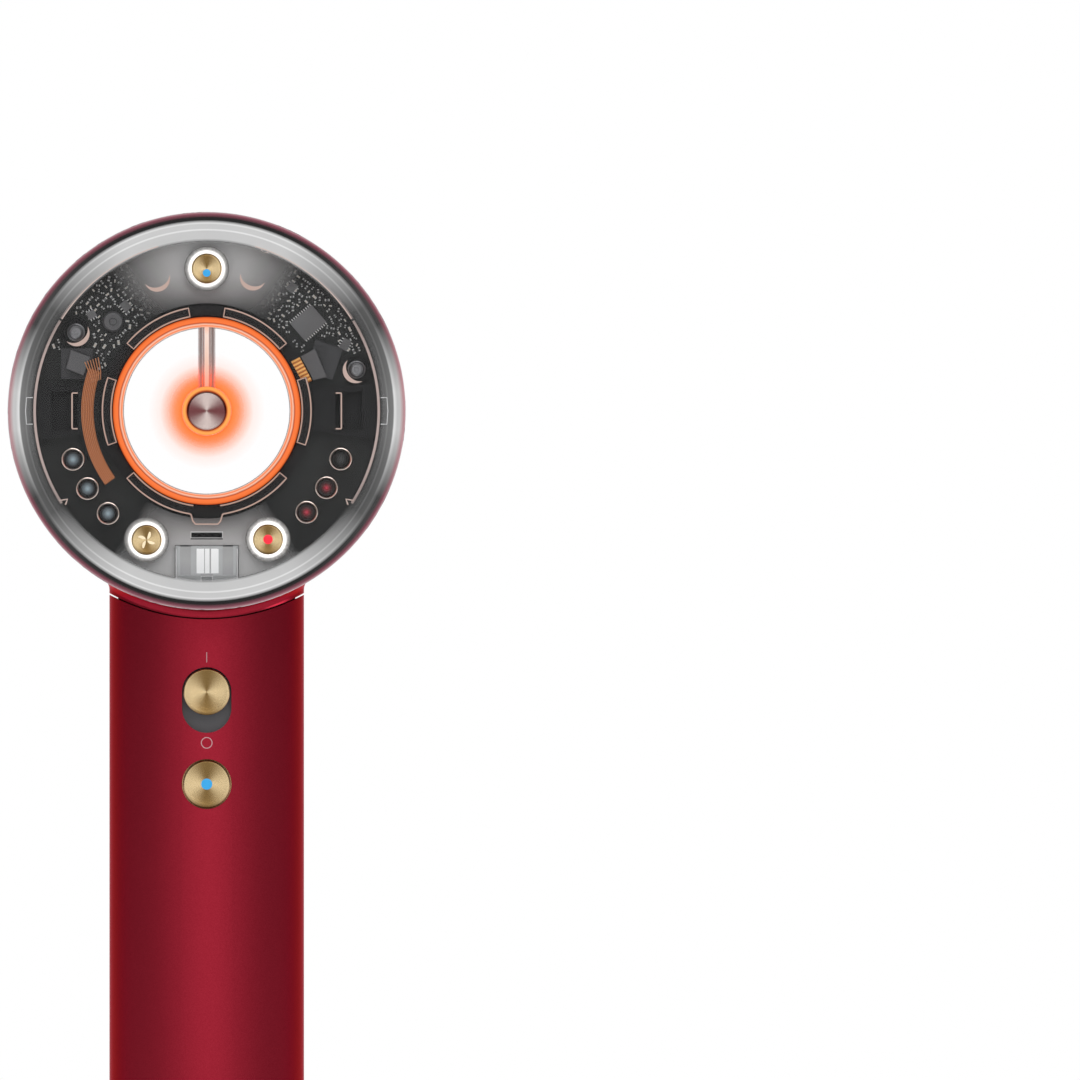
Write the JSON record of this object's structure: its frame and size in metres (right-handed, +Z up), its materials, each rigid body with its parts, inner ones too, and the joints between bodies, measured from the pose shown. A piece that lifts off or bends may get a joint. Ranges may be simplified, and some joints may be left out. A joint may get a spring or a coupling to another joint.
{
  "type": "hair dryer",
  "caption": "Hand-held hair dryer: round head with a through bore, clear ring window over its electronics, gold buttons, and a tubular handle with a slider and a pull-off filter cage.",
  "frame": {"origin": "on the handle's axis, in the middle of the grip", "axes": "+Z up along the handle towards the head, -Y the clear rear window, +Y the way the air leaves"},
  "size_m": [0.078, 0.0992, 0.245],
  "materials": {
    "shell_red": "satin metallic paint",
    "gold": "spun satin",
    "clear": "polished clear plastic",
    "frosted": "frosted plastic",
    "glow_orange": "lit light guide",
    "glow_amber": "lit light guide",
    "light_white": "lit light guide",
    "seal_black": "matt",
    "dark_plastic": "moulded",
    "bore_grey": "satin",
    "capsule_metal": "spun satin",
    "board": "solder mask",
    "chip": "moulded",
    "passive": "ceramic",
    "copper": "satin",
    "trim_rose": "moulded",
    "steel": "machined",
    "mica": "mica",
    "heating_wire": "oxidised",
    "ceramic": "ceramic",
    "aluminium": "machined",
    "magnet": "plated",
    "rubber_grey": "matt",
    "lead": "matt",
    "mesh_grey": "woven"
  },
  "bodies": {
    "root": {"head_shell": "shell_red", "handle_shell": "shell_red", "rear_lens": "clear", "light_block": "clear", "capsule_strut": "clear", "lens_seal": "seal_black", "glow_ring": "glow_orange", "capsule_glow_ring": "glow_amber", "strut_light_pipe": "light_white", "indicator_lights": "light_white", "button_bezels": "light_white", "bore_tube": "bore_grey", "bore_collar": "dark_plastic", "bay_wall": "dark_plastic", "rear_bulkhead": "dark_plastic", "capsule_body": "bore_grey", "capsule_lens": "capsule_metal", "main_board": "board", "control_board": "board", "motor_board": "board", "board_chips": "chip", "board_passives": "passive", "flex_connectors": "chip", "flex_ribbon": "copper", "stator_coils": "copper", "left_window_carrier": "dark_plastic", "right_window_carrier": "dark_plastic", "outer_trim_arcs": "trim_rose", "inner_trim_arcs": "dark_plastic", "screw_cups": "trim_rose", "indicator_bezels": "trim_rose", "top_diffuser": "frosted", "bottom_diffuser": "frosted", "button_switches": "steel", "board_screws": "steel", "heater_frame": "mica", "heater_sleeve": "mica", "heater_coils": "heating_wire", "thermal_cutoff": "ceramic", "ionizer": "chip", "outlet_funnel": "dark_plastic", "attachment_ring": "aluminium", "attachment_magnets": "magnet", "neck_coupler": "seal_black", "motor_sleeve": "rubber_grey", "motor_frame": "aluminium", "stator_core": "steel", "supply_leads": "lead", "intake_frame": "dark_plastic", "filter_mesh": "mesh_grey", "end_cap": "dark_plastic"},
    "impeller": {"rotor": "steel", "impeller": "aluminium"},
    "power_slider": {"power_slider": "gold", "slider_carriage": "dark_plastic"},
    "cool_shot_button": {"cool_shot_button": "gold"},
    "mode_button": {"mode_button": "gold"},
    "airflow_button": {"airflow_button": "gold"},
    "heat_button": {"heat_button": "gold"},
    "filter_cage": {"filter_cage": "shell_red"}
  },
  "joints": [
    {"name": "impeller_spin", "type": "hinge", "parent": "root", "child": "impeller", "pos_m": [0, 0, 0.004], "axis": [0, 0, 1], "continuous": true},
    {"name": "power_slide", "type": "slide", "parent": "root", "child": "power_slider", "axis": [0, 0, 1], "range_m": [-0.0032, 0]},
    {"name": "cool_shot_press", "type": "slide", "parent": "root", "child": "cool_shot_button", "axis": [0, 1, 0], "range_m": [0, 0.0008], "stiffness_N_per_m": 800},
    {"name": "mode_press", "type": "slide", "parent": "root", "child": "mode_button", "axis": [0, 1, 0], "range_m": [0, 0.0005], "stiffness_N_per_m": 800},
    {"name": "airflow_press", "type": "slide", "parent": "root", "child": "airflow_button", "axis": [0, 1, 0], "range_m": [0, 0.0005], "stiffness_N_per_m": 800},
    {"name": "heat_press", "type": "slide", "parent": "root", "child": "heat_button", "axis": [0, 1, 0], "range_m": [0, 0.0005], "stiffness_N_per_m": 800},
    {"name": "filter_cage_pull", "type": "slide", "parent": "root", "child": "filter_cage", "axis": [0, 0, -1], "range_m": [0, 0.045]}
  ]
}
